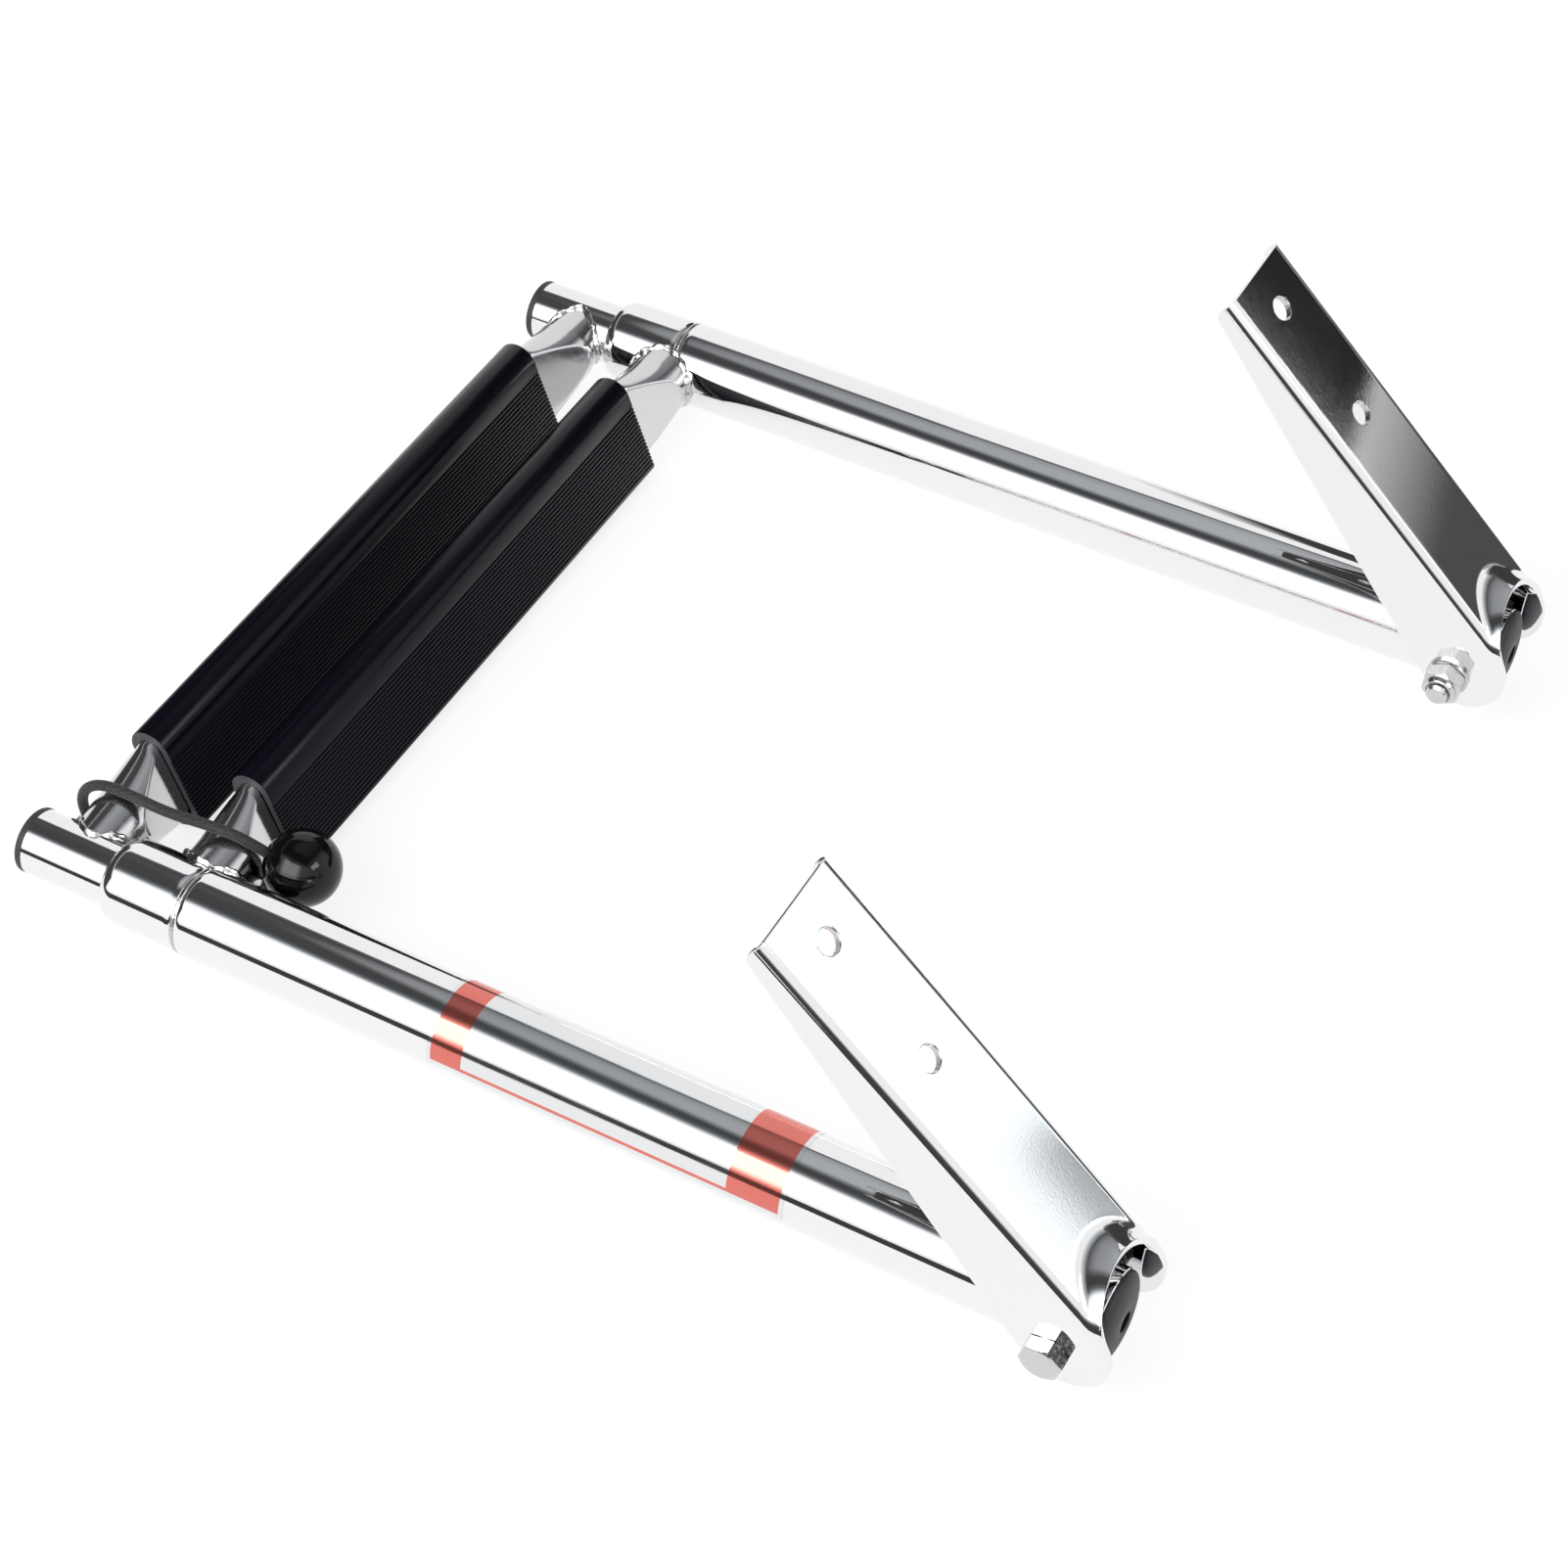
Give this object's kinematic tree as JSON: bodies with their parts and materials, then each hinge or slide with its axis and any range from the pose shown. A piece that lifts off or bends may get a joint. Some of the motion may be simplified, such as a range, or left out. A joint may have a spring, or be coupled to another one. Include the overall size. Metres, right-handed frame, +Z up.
{
  "type": "telescoping dock ladder",
  "caption": "Telescoping stainless dock ladder with ribbed black treads, folding channel brackets and a stretch cord with a ball.",
  "frame": {"origin": "on the floor under the middle of the ladder's bounding box, closed and with its brackets half raised", "axes": "X across the ladder to the stringer with the stretch cord, Y along the stringers to the brackets, Z up"},
  "size_m": [0.3778, 0.4116, 0.1503],
  "materials": {
    "polished_steel": "mirror polished stainless",
    "bracket_steel": "polished stainless with fine brushing",
    "bright_fixings": "bright",
    "rubber": "matte black",
    "bush_plastic": "black",
    "tread_plastic": "semi-gloss black, ribbed",
    "ball_plastic": "glossy black",
    "cord_cover": "woven black"
  },
  "bodies": {
    "outer_frame": {"outer_tube_right": "polished_steel", "seam_ring_right": "polished_steel", "collar_right": "polished_steel", "end_plug_right": "rubber", "outer_tube_left": "polished_steel", "seam_ring_left": "polished_steel", "collar_left": "polished_steel", "end_plug_left": "rubber", "upper_rung": "polished_steel", "upper_tread": "tread_plastic", "bungee_ball": "ball_plastic", "bungee_cord": "cord_cover"},
    "inner_frame": {"inner_tube_right": "polished_steel", "guide_bush_right": "bush_plastic", "end_cap_right": "rubber", "inner_tube_left": "polished_steel", "guide_bush_left": "bush_plastic", "end_cap_left": "rubber", "lower_rung": "polished_steel", "lower_tread": "tread_plastic"},
    "right_bracket": {"bracket_right": "bracket_steel", "bracket_bolt_right": "bright_fixings", "washer_right": "bright_fixings", "lock_nut_right": "bright_fixings", "spacers_right": "bush_plastic"},
    "left_bracket": {"bracket_left": "bracket_steel", "bracket_bolt_left": "bright_fixings", "washer_left": "bright_fixings", "lock_nut_left": "bright_fixings", "spacers_left": "bush_plastic"}
  },
  "joints": [
    {"name": "section_slide", "type": "slide", "parent": "outer_frame", "child": "inner_frame", "axis": [0, -1, 0], "range_m": [0, 0.24], "deforming": ["bungee_cord"]},
    {"name": "right_bracket_hinge", "type": "hinge", "parent": "outer_frame", "child": "right_bracket", "pos_m": [0.1628, 0.18551, 0.0217], "axis": [1, 0, 0], "range_deg": [-209, 44.7]},
    {"name": "left_bracket_hinge", "type": "hinge", "parent": "outer_frame", "child": "left_bracket", "pos_m": [-0.1628, 0.18551, 0.0217], "axis": [1, 0, 0], "range_deg": [-209, 44.7]}
  ]
}
